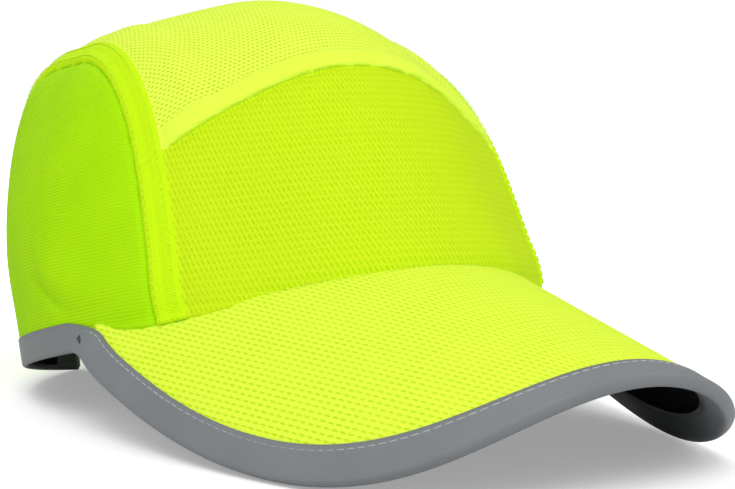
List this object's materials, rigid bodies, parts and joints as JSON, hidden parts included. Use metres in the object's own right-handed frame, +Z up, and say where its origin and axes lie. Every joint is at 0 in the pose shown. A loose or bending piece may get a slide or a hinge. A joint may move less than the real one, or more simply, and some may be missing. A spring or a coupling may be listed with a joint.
{
  "type": "bump cap",
  "caption": "Peaked cloth cap over a removable hard shell, with a curved visor, bound edge, sweatband and rear strap with a cam buckle.",
  "frame": {"origin": "middle of the cap's footprint, on the surface that it stands on", "axes": "+Z up, -Y towards the tip of the visor, +X towards the wearer's left"},
  "size_m": [0.1632, 0.2774, 0.1237],
  "materials": {
    "crown_mesh": "open hi-vis knit",
    "crown_knit": "fine hi-vis rib knit",
    "seam_tape": "woven tape",
    "visor_cloth": "open hi-vis knit",
    "under_cloth": "matt black cloth",
    "visor_board": "flexible polyethylene board",
    "reflective_tape": "grey retroreflective tape",
    "arch_tape": "woven tape",
    "sweatband_cloth": "brushed black towelling over foam",
    "webbing": "woven webbing",
    "buckle_plastic": "fine texture",
    "pin_steel": "plain",
    "shell_plastic": "moulded, fine texture",
    "foam": "closed-cell foam",
    "hook_tape": "hook pile",
    "loop_tape": "loop pile"
  },
  "bodies": {
    "cap": {"front_panel": "crown_mesh", "top_panel": "crown_mesh", "side_panel_right": "crown_knit", "side_panel_left": "crown_knit", "front_seam_tape": "seam_tape", "side_seam_tape_right": "seam_tape", "side_seam_tape_left": "seam_tape", "visor_top_cover": "visor_cloth", "visor_under_cover": "under_cloth", "visor_board": "visor_board", "visor_binding": "reflective_tape", "hem_binding_right": "reflective_tape", "hem_binding_left": "reflective_tape", "rear_arch_binding": "arch_tape", "sweatband": "sweatband_cloth", "strap_long": "webbing", "strap_loop": "webbing", "buckle_frame": "buckle_plastic", "lever_pin": "pin_steel", "hook_dots": "hook_tape"},
    "lever": {"buckle_lever": "buckle_plastic"},
    "insert": {"bump_shell": "shell_plastic", "crown_pad": "foam", "front_pad": "foam", "rear_pad": "foam", "side_pad_right": "foam", "side_pad_left": "foam", "loop_dots": "loop_tape"}
  },
  "joints": [
    {"name": "buckle_lever", "type": "hinge", "parent": "cap", "child": "lever", "pos_m": [0.00955, 0.12479, 0.01493], "axis": [0.0295, 0.38, 0.9245], "range_deg": [0, 80]},
    {"name": "insert_slide", "type": "slide", "parent": "cap", "child": "insert", "axis": [0, -0.3849, -0.923], "range_m": [0, 0.1]}
  ]
}
